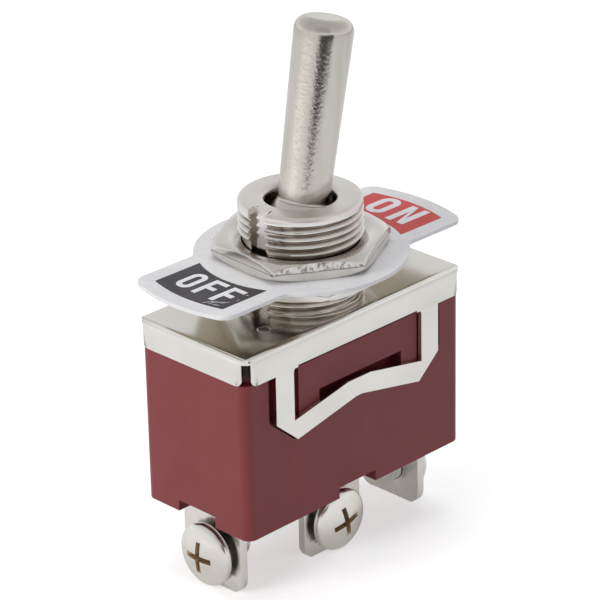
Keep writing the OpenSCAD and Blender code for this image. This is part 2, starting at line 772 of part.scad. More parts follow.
// A pan head screw along X, its head towards -X, for a terminal whose outer face is x = 0,
// its cross recess turned from upright
module terminal_screw(turn) {
    // radius of the sphere that the dome is a cap of
    dome_r = (head_r * head_r + head_dome * head_dome) / (2 * head_dome);
    rim_x = -wire_gap - head_rim;
    end_x = terminal_t + screw_tail;
    color("#d0cdc6")
    translate([0, 0, screw_z]) rotate([0, 90, 0])
    difference() {
        union() {
            translate([0, 0, rim_x]) cylinder(h = head_rim, r = head_r);
            intersection() {
                translate([0, 0, rim_x - head_dome]) cylinder(h = head_dome, r = head_r);
                translate([0, 0, rim_x - head_dome + dome_r]) sphere(dome_r, $fn = 96);
            }
            translate([0, 0, rim_x]) cylinder(h = end_x - rim_x - 0.4, r = screw_r);
            translate([0, 0, end_x - 0.4]) cylinder(h = 0.4, r1 = screw_r, r2 = screw_r - 0.4);
        }
        // cross recess
        for (a = [0, 90])
            rotate(turn + a)
                translate([-recess_l / 2, -recess_w / 2, rim_x - head_dome + recess_d - 2 * head_r])
                    cube([recess_l, recess_w, 2 * head_r]);
    }
}

module screw_left() translate([-end_terminal_x, 0, 0]) terminal_screw(0);

module screw_right() rotate([0, 0, 180]) screw_left();

module screw_middle() rotate([0, 0, 90]) translate([-mid_terminal_y, 0, 0]) terminal_screw(-mid_screw_turn);

// ---------- assembly ----------

housing();
cover_frame();
bushing();
back_nut();
front_nut();
indicator_plate();
off_field();
on_field();
lever();
pivot_pin();
plunger();
plunger_spring();
rocker();
rocker_contact_left();
rocker_contact_right();
rocker_saddle();
fixed_contact_left();
fixed_contact_right();
terminal_left();
terminal_middle();
terminal_right();
screw_left();
screw_middle();
screw_right();
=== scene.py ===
"""Looks of the panel toggle switch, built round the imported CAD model. Metres, same frame as the CAD."""

import bpy
import bmesh
import json
import math
from mathutils import Matrix, Vector

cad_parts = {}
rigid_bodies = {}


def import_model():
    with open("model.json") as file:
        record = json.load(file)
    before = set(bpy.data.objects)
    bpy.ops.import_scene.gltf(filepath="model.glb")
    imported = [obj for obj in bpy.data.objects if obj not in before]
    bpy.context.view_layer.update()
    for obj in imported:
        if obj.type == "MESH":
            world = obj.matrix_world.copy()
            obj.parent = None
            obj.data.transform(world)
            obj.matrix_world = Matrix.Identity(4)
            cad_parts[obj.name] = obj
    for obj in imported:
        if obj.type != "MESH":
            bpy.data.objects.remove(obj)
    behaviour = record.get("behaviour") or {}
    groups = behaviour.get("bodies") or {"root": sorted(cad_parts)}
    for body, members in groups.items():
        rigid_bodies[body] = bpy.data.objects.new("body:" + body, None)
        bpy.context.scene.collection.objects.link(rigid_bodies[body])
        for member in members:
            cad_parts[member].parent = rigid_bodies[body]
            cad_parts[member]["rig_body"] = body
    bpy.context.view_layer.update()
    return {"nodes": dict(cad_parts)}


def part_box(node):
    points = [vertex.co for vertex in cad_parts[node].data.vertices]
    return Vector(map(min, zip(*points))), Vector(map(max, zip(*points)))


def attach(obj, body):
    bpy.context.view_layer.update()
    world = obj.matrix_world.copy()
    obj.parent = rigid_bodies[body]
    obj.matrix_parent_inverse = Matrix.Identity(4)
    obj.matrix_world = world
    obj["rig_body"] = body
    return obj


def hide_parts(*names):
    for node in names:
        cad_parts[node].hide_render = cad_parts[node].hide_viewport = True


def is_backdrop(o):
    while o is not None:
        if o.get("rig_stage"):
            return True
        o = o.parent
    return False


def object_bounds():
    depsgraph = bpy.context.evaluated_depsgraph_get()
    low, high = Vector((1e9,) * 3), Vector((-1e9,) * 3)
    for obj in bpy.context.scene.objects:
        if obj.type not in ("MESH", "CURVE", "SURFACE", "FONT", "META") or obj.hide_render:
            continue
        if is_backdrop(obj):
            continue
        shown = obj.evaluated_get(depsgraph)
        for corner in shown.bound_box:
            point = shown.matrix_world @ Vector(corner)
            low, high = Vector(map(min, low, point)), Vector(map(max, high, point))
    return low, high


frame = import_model()
nodes = frame["nodes"]
MM = 0.001


def size(node):
    """Lowest and highest corner of a CAD node, in mm."""
    lo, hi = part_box(node)
    return lo / MM, hi / MM


def direction(az, el):
    """Unit vector towards an azimuth and elevation in degrees."""
    a, e = math.radians(az), math.radians(el)
    return Vector((math.cos(a) * math.cos(e), math.sin(a) * math.cos(e), math.sin(e)))


# ------------------------------------------------------------------ sizes shared below

# in mm, unless a line says otherwise

bush_lo, bush_hi = size("bushing")
back_lo = size("back_nut")[0]
front_hi = size("front_nut")[1]
body_hi = size("housing")[1]
COVER_TOP = size("cover_frame")[1].z
FLAP_DEPTH = 2.87
# the lever's lean in the photo, in radians
LEAN = math.radians(11)

BUSH_TOP = bush_hi.z
BUSH_R = 6.0
BORE_R = 3.4
THREAD_DEPTH = 0.42
PITCH = 0.75
ROWS_PER_TURN = 18
# the plain land between the thread and the bushing's mouth
LAND = 0.95
LAND_R = BUSH_R - 0.04
RIM_R = 0.42
MOUTH_R = 0.55
# the thread is cut down to this radius where the nuts and plate sit
SEAT_R = 5.68
KEY_HALF = 1.1
KEY_FLOOR = 5.1

NUT_AF = 15.2
NUT_BORE = 5.72
NUT_BEVEL = 0.95
NUT_SINK = 0.45
# direction of the nuts' torn side, in degrees
TORN_AZ = 290

# between the terminal's outer face and the screw's head
SCREW_GAP = 0.45
SCREW_PITCH = 0.7
TAIL_R = 1.75

# ------------------------------------------------------------------ materials


def new_material(name):
    """A material with its node tree and its main shader."""
    m = bpy.data.materials.new(name)
    m.use_nodes = True
    nt = m.node_tree
    return m, nt, nt.nodes["Principled BSDF"]


def noise(nt, scale, detail, rough=0.55, stretch=(1, 1, 1), seed=0.0):
    """A noise texture on object coordinates, its size in mm; stretch squeezes it along an axis."""
    co = nt.nodes.new("ShaderNodeTexCoord")
    mp = nt.nodes.new("ShaderNodeMapping")
    mp.inputs["Scale"].default_value = stretch
    mp.inputs["Location"].default_value = (seed * 0.013, seed * 0.007, seed * 0.003)
    nt.links.new(co.outputs["Object"], mp.inputs["Vector"])
    n = nt.nodes.new("ShaderNodeTexNoise")
    n.inputs["Scale"].default_value = 1000.0 / scale
    n.inputs["Detail"].default_value = detail
    n.inputs["Roughness"].default_value = rough
    nt.links.new(mp.outputs["Vector"], n.inputs["Vector"])
    return n.outputs["Fac"]


def ramp(nt, fac, stops):
    """Turns a value into a colour through (position, colour) stops."""
    r = nt.nodes.new("ShaderNodeValToRGB")
    els = r.color_ramp.elements
    while len(els) < len(stops):
        els.new(0.5)
    for el, (pos, col) in zip(els, stops):
        el.position = pos
        el.color = (*col, 1)
    nt.links.new(fac, r.inputs["Fac"])
    return r.outputs["Color"]


def remap(nt, fac, lo, hi, frm=0.3, to=0.7):
    """Stretches a value from the range frm..to onto lo..hi, clamped."""
    m = nt.nodes.new("ShaderNodeMapRange")
    m.inputs["From Min"].default_value = frm
    m.inputs["From Max"].default_value = to
    m.inputs["To Min"].default_value = lo
    m.inputs["To Max"].default_value = hi
    nt.links.new(fac, m.inputs["Value"])
    return m.outputs["Result"]


def bump(nt, bsdf, height, strength, distance):
    """Relief of up to the distance, in mm."""
    b = nt.nodes.new("ShaderNodeBump")
    b.inputs["Strength"].default_value = strength
    b.inputs["Distance"].default_value = distance * MM
    nt.links.new(height, b.inputs["Height"])
    nt.links.new(b.outputs["Normal"], bsdf.inputs["Normal"])


def calculate(nt, operation, *values):
    """A math node; a value is another node's output or a number."""
    n = nt.nodes.new("ShaderNodeMath")
    n.operation = operation
    for socket, value in zip(n.inputs, values):
        if isinstance(value, bpy.types.NodeSocket):
            nt.links.new(value, socket)
        else:
            socket.default_value = value
    return n.outputs["Value"]


def blend_colours(nt, fac, first, second):
    mix = nt.nodes.new("ShaderNodeMixRGB")
    nt.links.new(fac, mix.inputs["Fac"])
    for socket, colour in (("Color1", first), ("Color2", second)):
        if isinstance(colour, bpy.types.NodeSocket):
            nt.links.new(colour, mix.inputs[socket])
        else:
            mix.inputs[socket].default_value = (*colour, 1)
    return mix.outputs["Color"]


def split(nt, node_type, output):
    """X, Y and Z of a vector that a new node of this type gives."""
    source = nt.nodes.new(node_type)
    parts = nt.nodes.new("ShaderNodeSeparateXYZ")
    nt.links.new(source.outputs[output], parts.inputs["Vector"])
    return parts.outputs


def metal(name, dark, light, rough, spread, bump_mm, seed=0.0):
    """Plated metal: colour drifts between two tones, roughness is uneven, fine grain in the bump."""
    m, nt, b = new_material(name)
    b.inputs["Metallic"].default_value = 1.0
    tone = ramp(nt, noise(nt, 6.0, 3, 0.5, seed=seed), [(0.35, dark), (0.65, light)])
    nt.links.new(tone, b.inputs["Base Color"])
    dull = remap(nt, noise(nt, 2.2, 4, 0.55, seed=seed + 3), rough - spread, rough + spread)
    nt.links.new(dull, b.inputs["Roughness"])
    bump(nt, b, noise(nt, 0.5, 3, 0.5, seed=seed + 7), 0.3, bump_mm)
    return m


# name, dark tone, light tone, roughness and its spread, bump in mm, seed
sheet_mat = metal("nickel_sheet", (0.76, 0.745, 0.70), (0.81, 0.795, 0.755), 0.17, 0.03, 0.0010)
screw_mat = metal("nickel_screw", (0.74, 0.72, 0.66), (0.82, 0.80, 0.75), 0.22, 0.04, 0.0014, 8)
# the screws' cross recess: a darker brown colour that is painted shade in the recess
recess_shade_mat = metal("screw_recess_painted_shade", (0.42, 0.31, 0.20), (0.66, 0.58, 0.46), 0.42, 0.08, 0.003, 9)
terminal_mat = metal("tinned_strip", (0.73, 0.71, 0.67), (0.80, 0.78, 0.75), 0.24, 0.05, 0.0014, 11)
# the plate's bare metal underside, coloured darker than bare metal as painted shade under the plate
underside_mat = metal("bare_underside_and_shade", (0.34, 0.29, 0.22), (0.48, 0.42, 0.33), 0.38, 0.06, 0.002, 12)
brass_mat = metal("contact_brass", (0.62, 0.42, 0.16), (0.74, 0.55, 0.26), 0.35, 0.08, 0.003, 13)
silver_mat = metal("contact_silver", (0.78, 0.77, 0.74), (0.88, 0.87, 0.85), 0.30, 0.08, 0.003, 17)
steel_mat = metal("spring_steel", (0.45, 0.44, 0.42), (0.60, 0.59, 0.57), 0.30, 0.08, 0.002, 19)


def bushing_material():
    """Turned thread: bright crests, painted brown shade in the valleys and down the bore, a duller top
    face.
    """
    m, nt, b = new_material("nickel_turned")
    b.inputs["Metallic"].default_value = 1.0
    place = split(nt, "ShaderNodeTexCoord", "Object")
    radius = calculate(nt, "SQRT", calculate(nt, "ADD", calculate(nt, "POWER", place["X"], 2),
                                             calculate(nt, "POWER", place["Y"], 2)))
    crest = remap(nt, radius, 0, 1, (BUSH_R - 0.40) * MM, (BUSH_R - 0.10) * MM)
    top = remap(nt, place["Z"], 0, 1, (BUSH_TOP - 0.7) * MM, (BUSH_TOP - 0.5) * MM)
    facing = split(nt, "ShaderNodeNewGeometry", "Normal")
    key_floor = remap(nt, facing["X"], 1, 0, -0.97, -0.90)
    # the parts kept out of the painted shade: the crests, the top land and the keyway's floor
    unshaded = calculate(nt, "MAXIMUM", calculate(nt, "MAXIMUM", crest, top), key_floor)
    tone = ramp(nt, noise(nt, 6.0, 3, 0.5, seed=2),
                [(0.35, (0.74, 0.70, 0.665)), (0.65, (0.82, 0.79, 0.76))])
    # painted shade: dark brown in the thread's valleys and down the bore, in place of the shade that
    # falls there
    painted_valley_shade = ramp(nt, noise(nt, 2.5, 4, 0.6, seed=4),
                   [(0.35, (0.20, 0.155, 0.12)), (0.65, (0.38, 0.32, 0.27))])
    nt.links.new(blend_colours(nt, unshaded, painted_valley_shade, tone), b.inputs["Base Color"])
    nt.links.new(remap(nt, top, 0.17, 0.33, 0, 1), b.inputs["Roughness"])
    bump(nt, b, noise(nt, 0.5, 3, 0.5, seed=9), 0.3, 0.002)
    return m


def nut_material(name, low_z, high_z, torn_az, seed):
    """Plated nut; the blanked side that faces torn_az is torn above its middle and smooth below it."""
    m, nt, b = new_material(name)
    b.inputs["Metallic"].default_value = 1.0
    geo = nt.nodes.new("ShaderNodeNewGeometry")
    faces = nt.nodes.new("ShaderNodeVectorMath")
    faces.operation = "DOT_PRODUCT"
    faces.inputs[1].default_value = direction(torn_az, 0)
    nt.links.new(geo.outputs["Normal"], faces.inputs[0])
    side = remap(nt, faces.outputs["Value"], 0, 1, 0.90, 0.97)
    place = split(nt, "ShaderNodeTexCoord", "Object")
    # the tear's lower edge wanders by up to ragged_mm, and fades over fade_mm each way
    ragged_mm, fade_mm = 0.6, 0.04
    ragged = calculate(nt, "MULTIPLY_ADD", noise(nt, 1.4, 4, 0.7, seed=seed), ragged_mm * MM, place["Z"])
    middle = (low_z + high_z + ragged_mm) / 2
    above = remap(nt, ragged, 0, 1, (middle - fade_mm) * MM, (middle + fade_mm) * MM)
    torn = calculate(nt, "MULTIPLY", side, above)
    grit = noise(nt, 0.42, 5, 0.7, (1, 1, 0.7), seed + 1)
    tone = ramp(nt, noise(nt, 5.0, 3, 0.5, seed=seed + 2),
                [(0.35, (0.68, 0.655, 0.62)), (0.65, (0.78, 0.76, 0.72))])
    pitted = ramp(nt, grit, [(0.38, (0.25, 0.22, 0.20)), (0.52, (0.86, 0.84, 0.82))])
    nt.links.new(blend_colours(nt, torn, tone, pitted), b.inputs["Base Color"])
    nt.links.new(remap(nt, torn, 0.22, 0.42, 0, 1), b.inputs["Roughness"])
    bump(nt, b, calculate(nt, "MULTIPLY", torn, grit), 1.0, 0.07)
    return m


def lever_material():
    """Thick uneven plating, which breaks up what it reflects."""
    m, nt, b = new_material("nickel_lever")
    b.inputs["Metallic"].default_value = 1.0
    tone = ramp(nt, noise(nt, 2.2, 4, 0.6, (1, 1, 0.12), 31),
                [(0.35, (0.55, 0.53, 0.47)), (0.65, (0.64, 0.61, 0.565))])
    nt.links.new(tone, b.inputs["Base Color"])
    nt.links.new(remap(nt, noise(nt, 0.9, 5, 0.6, (1, 1, 0.6), 33), 0.09, 0.18), b.inputs["Roughness"])
    bump(nt, b, noise(nt, 0.34, 4, 0.6, (1, 1, 0.9), 35), 1.0, 0.024)
    return m


def phenolic_material():
    """Moulded maroon phenolic, with painted shade, nearly black, where the cover's corner slits show its
    shoulder.
    """
    m, nt, b = new_material("maroon_phenolic")
    colour = ramp(nt, noise(nt, 9.0, 6, 0.6, (1, 1, 0.6)),
                  [(0.3, (0.180, 0.026, 0.030)), (0.7, (0.215, 0.032, 0.036))])
    place = split(nt, "ShaderNodeTexCoord", "Object")
    at_end = remap(nt, calculate(nt, "ABSOLUTE", place["X"]), 0, 1,
                   (body_hi.x - 2.2) * MM, (body_hi.x - 1.4) * MM)
    flap_edge = COVER_TOP - FLAP_DEPTH
    under = remap(nt, place["Z"], 0, 1, (flap_edge + 0.1) * MM, (flap_edge + 0.8) * MM)
    # painted shade: the shoulder under the cover's ends is coloured nearly black in place of the shade in
    # the slits
    painted_slit_shade = calculate(nt, "MULTIPLY", at_end, under)
    nt.links.new(blend_colours(nt, painted_slit_shade, colour, (0.020, 0.008, 0.008)), b.inputs["Base Color"])
    nt.links.new(remap(nt, noise(nt, 2.5, 5, 0.6, seed=4), 0.36, 0.47), b.inputs["Roughness"])
    b.inputs["Specular IOR Level"].default_value = 0.40
    bump(nt, b, noise(nt, 0.5, 4, 0.6, seed=9), 0.25, 0.006)
    return m


def paint_material(name, dark, light, rough, seed):
    """Printed or moulded plastic surface."""
    m, nt, b = new_material(name)
    tone = ramp(nt, noise(nt, 3.0, 4, seed=seed), [(0.35, dark), (0.65, light)])
    nt.links.new(tone, b.inputs["Base Color"])
    dull = remap(nt, noise(nt, 0.9, 5, seed=seed + 2), rough - 0.05, rough + 0.06)
    nt.links.new(dull, b.inputs["Roughness"])
    b.inputs["Specular IOR Level"].default_value = 0.35
    bump(nt, b, noise(nt, 1.5, 2, seed=seed + 4), 0.15, 0.003)
    return m


lever_mat = lever_material()
housing_mat = phenolic_material()
plate_mat = paint_material("white_paint", (0.77, 0.765, 0.78), (0.83, 0.825, 0.835), 0.30, 21)
off_mat = paint_material("dark_print", (0.034, 0.030, 0.035), (0.052, 0.046, 0.052), 0.45, 23)
on_mat = paint_material("red_print", (0.60, 0.060, 0.062), (0.68, 0.080, 0.080), 0.45, 25)
letter_mat = paint_material("white_letters", (0.84, 0.83, 0.86), (0.90, 0.89, 0.91), 0.40, 27)
nylon_mat = paint_material("nylon", (0.70, 0.66, 0.54), (0.78, 0.74, 0.62), 0.45, 29)


# ------------------------------------------------------------------ mesh helpers


def add_object(name, bm, material, body, replaced, smooth):
    """A piece of the switch made from a bmesh; replaced names the CAD nodes that it stands for."""
    bm.normal_update()
    ob = mesh_object(name, bm)
    ob.data.materials.append(material)
    shade(ob, smooth)
    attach(ob, body)
    if replaced:
        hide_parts(*replaced)
    return ob


def shade(ob, angle):
    """Smooth shading, with edges sharper than the angle left crisp."""
    ob.data.shade_smooth()
    ob.data.set_sharp_from_angle(angle=math.radians(angle))


def evaluated_mesh(ob):
    deps = bpy.context.evaluated_depsgraph_get()
    return bpy.data.meshes.new_from_object(ob.evaluated_get(deps))


def apply_modifiers(ob):
    me = evaluated_mesh(ob)
    ob.modifiers.clear()
    ob.data = me


def link_object(name, data):
    ob = bpy.data.objects.new(name, data)
    bpy.context.scene.collection.objects.link(ob)
    return ob


def mesh_object(name, bm):
    """An object in the scene made from a bmesh, which is used up."""
    me = bpy.data.meshes.new(name)
    bm.to_mesh(me)
    bm.free()
    return link_object(name, me)


def add_bevel(ob, width, segments, angle):
    bev = ob.modifiers.new("bevel", "BEVEL")
    bev.width = width * MM
    bev.segments = segments
    bev.limit_method = "ANGLE"
    bev.angle_limit = math.radians(angle)
    return bev


def cut_with(ob, cutter, operation):
    """A boolean that the caller still has to apply."""
    mod = ob.modifiers.new("cut", "BOOLEAN")
    mod.operation = operation
    mod.solver = "EXACT"
    mod.object = cutter
    return mod


def clean_mesh(ob, join, slivers):
    """Joins points closer than join, in metres; slivers also takes out faces without area."""
    bm = bmesh.new()
    bm.from_mesh(ob.data)
    bmesh.ops.remove_doubles(bm, verts=bm.verts, dist=join)
    if slivers:
        bmesh.ops.dissolve_degenerate(bm, edges=bm.edges, dist=join)
    bmesh.ops.triangulate(bm, faces=bm.faces, quad_method="BEAUTY", ngon_method="BEAUTY")
    bm.to_mesh(ob.data)
    bm.free()


def dressed(node, name, material, width, segments, angle, sharp):
    """A copy of a CAD node with its edges rounded, which stands for it."""
    bm = bmesh.new()
    bm.from_mesh(nodes[node].data)
    bmesh.ops.remove_doubles(bm, verts=bm.verts, dist=2e-6)
    bmesh.ops.dissolve_limit(bm, angle_limit=math.radians(0.6), verts=bm.verts, edges=bm.edges)
    ob = mesh_object(name, bm)
    add_bevel(ob, width, segments, angle).miter_outer = "MITER_ARC"
    apply_modifiers(ob)
    clean_mesh(ob, 5e-6, True)
    ob.data.materials.clear()
    ob.data.materials.append(material)
    shade(ob, sharp)
    flat = ob.modifiers.new("flat", "WEIGHTED_NORMAL")
    flat.keep_sharp = True
    flat.weight = 100
    apply_modifiers(ob)
    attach(ob, nodes[node]["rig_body"])
    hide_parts(node)
    return ob


def ring_faces(bm, a, b):
    """Quads between two closed rows of points."""
    n = len(a)
    for i in range(n):
        j = (i + 1) % n
        bm.faces.new((a[i], a[j], b[j], b[i]))


def rings(bm, rows):
    """Joins closed rows of points, given in mm, into a tube from the first row to the last."""
    made = [[bm.verts.new(Vector(p) * MM) for p in row] for row in rows]
    for a, b in zip(made, made[1:]):
        ring_faces(bm, a, b)
    return made


def closed_rings(bm, rows):
    """A tube whose last row joins its first, such as a body with a hole right through."""
    made = rings(bm, rows)
    ring_faces(bm, made[-1], made[0])
    bmesh.ops.recalc_face_normals(bm, faces=bm.faces)


def capped(bm, made):
    """Closes both ends of a tube of rows and turns its faces outwards."""
    bm.faces.new(made[0][::-1])
    bm.faces.new(made[-1])
    bmesh.ops.recalc_face_normals(bm, faces=bm.faces)


def circle_row(r, z, n):
    return [(r * math.cos(2 * math.pi * i / n), r * math.sin(2 * math.pi * i / n), z) for i in range(n)]


def revolved(bm, profile, n):
    """Turns a profile of (r, z) points about Z; a point on the axis closes the end."""
    rows = []
    for r, z in profile:
        rows.append([bm.verts.new(Vector((0, 0, z)) * MM)] if r < 1e-6
                    else [bm.verts.new(Vector(p) * MM) for p in circle_row(r, z, n)])
    for a, b in zip(rows, rows[1:]):
        if len(a) == 1 and len(b) == 1:
            continue
        for i in range(n):
            j = (i + 1) % n
            if len(a) == 1:
                bm.faces.new((a[0], b[j], b[i]))
            elif len(b) == 1:
                bm.faces.new((a[i], a[j], b[0]))
            else:
                bm.faces.new((a[i], a[j], b[j], b[i]))
    bmesh.ops.recalc_face_normals(bm, faces=bm.faces)


def arc_points(cx, cz, r, a0, a1, n):
    return [(cx + r * math.cos(math.radians(a0 + (a1 - a0) * i / n)),
             cz + r * math.sin(math.radians(a0 + (a1 - a0) * i / n))) for i in range(n + 1)]


# ------------------------------------------------------------------ bushing


def thread_radius(z, theta, pitch, crest, root):
    """Radius of a thread: flat at its root and crest, with a straight flank between them."""
    root_flat, flank = 0.16, 0.70
    phase = (z / pitch - theta / (2 * math.pi)) % 1.0
    tri = abs(2 * phase - 1)
    t = min(max((tri - root_flat) / flank, 0), 1)
    return root + (crest - root) * t


def bushing_radius(z, theta):
    """Radius of the bushing's outside: the thread, the plain land above it and the rounded rim."""
    fade, spare = 0.2, 0.03
    r = thread_radius(z, theta, PITCH, BUSH_R, BUSH_R - THREAD_DEPTH)
    if z > BUSH_TOP - LAND:
        r = r + (LAND_R - r) * min((z - (BUSH_TOP - LAND)) / fade, 1)
    if z > BUSH_TOP - RIM_R:
        r = min(r, LAND_R - RIM_R + math.sqrt(max(RIM_R ** 2 - (z - BUSH_TOP + RIM_R) ** 2, 0)))
    if back_lo.z - spare < z < front_hi.z + spare:
        r = min(r, SEAT_R)
    return r


def keyed_row(level, columns, floor_columns):
    """A row round the bushing's outside, with the flat-floored keyway on the -X side.

    It climbs with the thread, and is level at both ends of the threaded part.
    """
    gap = math.asin(KEY_HALF / BUSH_R)
    start, end = -math.pi + gap, math.pi - gap
    turns_above = max((BUSH_TOP - LAND - level) / PITCH, 0)
    turns_below = max((level - COVER_TOP) / PITCH, 0)
    climb = PITCH / (2 * math.pi) * min(turns_above, turns_below, 1)
    row = []
    for i in range(columns + 1):
        th = start + (end - start) * i / columns
        z = level + climb * th
        r = bushing_radius(z, th)
        if i in (0, columns):
            y = -KEY_HALF if i == 0 else KEY_HALF
            row.append((-math.sqrt(r * r - y * y), y, z))
        else:
            row.append((r * math.cos(th), r * math.sin(th), z))
    for i in range(floor_columns + 1):
        y = KEY_HALF - 2 * KEY_HALF * i / floor_columns
        row.append((-KEY_FLOOR, y, level + climb * end * y / KEY_HALF))
    return row


def plain_row(reference, r, z):
    """A round row with as many points as the reference; the keyway's points share its gap evenly."""
    wall = math.asin(KEY_HALF / BUSH_R)
    # keeps the outer points clear of the keyway's walls
    spread = 0.92
    row = []
    for x, y, _ in reference:
        th = math.atan2(y, x)
        if abs(x + KEY_FLOOR) < 1e-6:
            th = math.pi - wall * spread * y / KEY_HALF
        row.append((r * math.cos(th), r * math.sin(th), z))
    return row


def make_bushing():
    """The bushing, open all the way: up its outside, over the mouth and down the bore."""
    # foot in the body, neck through the cover's sheet, inner edge of the top face
    foot_r, neck_r, sheet, face_r = 4.85, 4.6, 0.53, 4.7
    coarse_step, edge_in = 0.6, 0.99
    levels = []
    z = COVER_TOP
    while z < BUSH_TOP - RIM_R - 0.01:
        hidden = back_lo.z + 0.2 < z < front_hi.z - 0.3
        levels.append(z)
        z += coarse_step if hidden else PITCH / ROWS_PER_TURN
    levels += [BUSH_TOP - RIM_R * (1 - math.sin(math.radians(a))) for a in range(0, 81, 10)]
    rows = [keyed_row(z, 200, 6) for z in levels]
    ref = rows[-1]
    bottom = [plain_row(ref, r, z) for r, z in
              ((BORE_R, bush_lo.z), (foot_r, bush_lo.z), (foot_r, COVER_TOP - sheet),
               (neck_r, COVER_TOP - sheet), (neck_r, COVER_TOP))]
    top = [[(x * edge_in, y * edge_in, BUSH_TOP) for x, y, _ in ref], plain_row(ref, face_r, BUSH_TOP)]
    for degrees in range(0, 91, 10):
        a = math.radians(degrees)
        top.append(plain_row(ref, BORE_R + MOUTH_R - MOUTH_R * math.sin(a),
                             BUSH_TOP - MOUTH_R + MOUTH_R * math.cos(a)))
    bm = bmesh.new()
    closed_rings(bm, bottom + rows + top)
    add_object("threaded_bushing", bm, bushing_material(), "switch_body", ("bushing",), 28)


make_bushing()

# ------------------------------------------------------------------ nuts


def nut_angles(turn):
    """Angles of a nut's columns: wide steps on the sides, fine ones at the corners."""
    offsets = (-30, -29.4, -28.5, -27, -24, -20, -15, -10, -5, 0, 5, 10, 15, 20, 24, 27, 28.5, 29.4)
    return [math.radians(turn + 30 + 60 * k + o) for k in range(6) for o in offsets]


def hex_radius(theta, turn, corner_cut):
    """Distance to a hex's side, with its corners slightly cut; a corner lies at the turn angle."""
    side = NUT_AF / 2
    local = (math.degrees(theta) - turn) % 60 - 30
    return min(side / math.cos(math.radians(local)), side / math.cos(math.radians(30)) - corner_cut)


def make_nut(node, name, turn, seed):
    """A hex nut with bevelled faces and a countersink at both ends of its bore."""
    lo, hi = size(node)
    h = hi.z - lo.z
    angles = nut_angles(turn)
    face_r = NUT_AF / 2 - 0.25
    corner_r = NUT_AF / 2 / math.cos(math.radians(30))
    corner_cut, lip = 0.07, 0.02
    # under side's countersink, then the top's turned recess from its rim to the bore
    sink_r = NUT_BORE + 0.9 * NUT_SINK
    rim_r, recess_r, recess_floor_r = 6.95, 6.88, NUT_BORE + 0.2

    def row(radii, dz):
        return [(r * math.cos(a), r * math.sin(a), lo.z + dz) for r, a in zip(radii, angles)]

    def outside(dz):
        # the bevel, rounded from the face into the corners
        near = min(min(dz, h - dz) / NUT_BEVEL, 1)
        cone = face_r + (corner_r - face_r) * math.sqrt(1 - (1 - near) ** 2)
        return row([min(hex_radius(a, turn, corner_cut), cone) for a in angles], dz)

    def circle(r, dz):
        return row([r] * len(angles), dz)

    steps = [NUT_BEVEL * (1 - math.cos(math.radians(a))) for a in range(0, 91, 9)]
    rows = [circle(NUT_BORE, NUT_SINK), circle(sink_r, lip), circle(sink_r + 0.05, 0)]
    rows += [outside(s) for s in steps] + [outside(h / 2)] + [outside(h - s) for s in reversed(steps)]
    rows += [circle(rim_r, h), circle(recess_r, h - lip), circle(recess_floor_r, h - NUT_SINK),
             circle(NUT_BORE, h - NUT_SINK - 0.1)]
    bm = bmesh.new()
    closed_rings(bm, rows)
    facets = [turn + 30 + 60 * k for k in range(6)]
    torn_az = min(facets, key=lambda a: abs((a + TORN_AZ) % 360 - 180))
    material = nut_material(name + "_plating", lo.z, hi.z, torn_az, seed)
    add_object(name, bm, material, "switch_body", (node,), 35)


make_nut("back_nut", "panel_nut_back", 1.2, 41)
make_nut("front_nut", "panel_nut_front", 27.1, 43)

# ------------------------------------------------------------------ lever


def make_lever():
    """The bat lever, turned about its own axis: foot in the body, pivot ball, shaft and round tip."""
    pivot = Vector((0, 0, COVER_TOP + 7.0))
    foot, ball, shaft_z, steps = -14.2, 3.3, 2.5, 24
    length, root_r, tip_r, tip_round = 19.9, 2.42, 2.85, 1.3
    tip_z = length - tip_round
    profile = [(0, foot), (1.0, foot), (1.56, foot), (1.66, foot + 0.1)]
    profile += arc_points(0, 0, ball, -58, 44, 28)
    profile += [(root_r + 0.10, 2.23), (root_r + 0.02, 2.33), (root_r + 0.01, shaft_z)]
    for i in range(1, steps + 1):
        z = shaft_z + (tip_z - shaft_z) * i / steps
        profile.append((root_r + (tip_r - root_r) * z / tip_z, z))
    profile += arc_points(tip_r - tip_round, tip_z, tip_round, 8, 90, 14)
    profile.append((0, length))
    bm = bmesh.new()
    revolved(bm, profile, 96)
    bm.transform(Matrix.Translation(pivot * MM) @ Matrix.Rotation(LEAN, 4, "Y"))
    add_object("bat_lever", bm, lever_mat, "toggle", ("lever",), 40)


make_lever()

# ------------------------------------------------------------------ sheet, body, plate, terminals


def round_corners(ob, r):
    """Rounds the upright corners of a box-like piece of sheet."""
    over, beyond = 0.001, 1
    lo = Vector([min(v.co[i] for v in ob.data.vertices) for i in range(3)]) / MM
    hi = Vector([max(v.co[i] for v in ob.data.vertices) for i in range(3)]) / MM
    outline = rounded_outline(lo.x - over, lo.y - over, hi.x + over, hi.y + over, r, 10)
    bm = bmesh.new()
    capped(bm, rings(bm, [[(x, y, z) for x, y in outline] for z in (lo.z - beyond, hi.z + beyond)]))
    cutter = mesh_object("corner_cut", bm)
    cut_with(ob, cutter, "INTERSECT")
    apply_modifiers(ob)
    bpy.data.objects.remove(cutter)
    clean_mesh(ob, 2e-6, False)
    shade(ob, 30)


def rounded_outline(x0, y0, x1, y1, r, n=8):
    """Corner points of a box with round corners, anticlockwise."""
    centres = ((x1 - r, y1 - r), (x0 + r, y1 - r), (x0 + r, y0 + r), (x1 - r, y0 + r))
    pts = []
    for quarter, (cx, cy) in enumerate(centres):
        pts += arc_points(cx, cy, r, 90 * quarter, 90 * quarter + 90, n)
    return pts


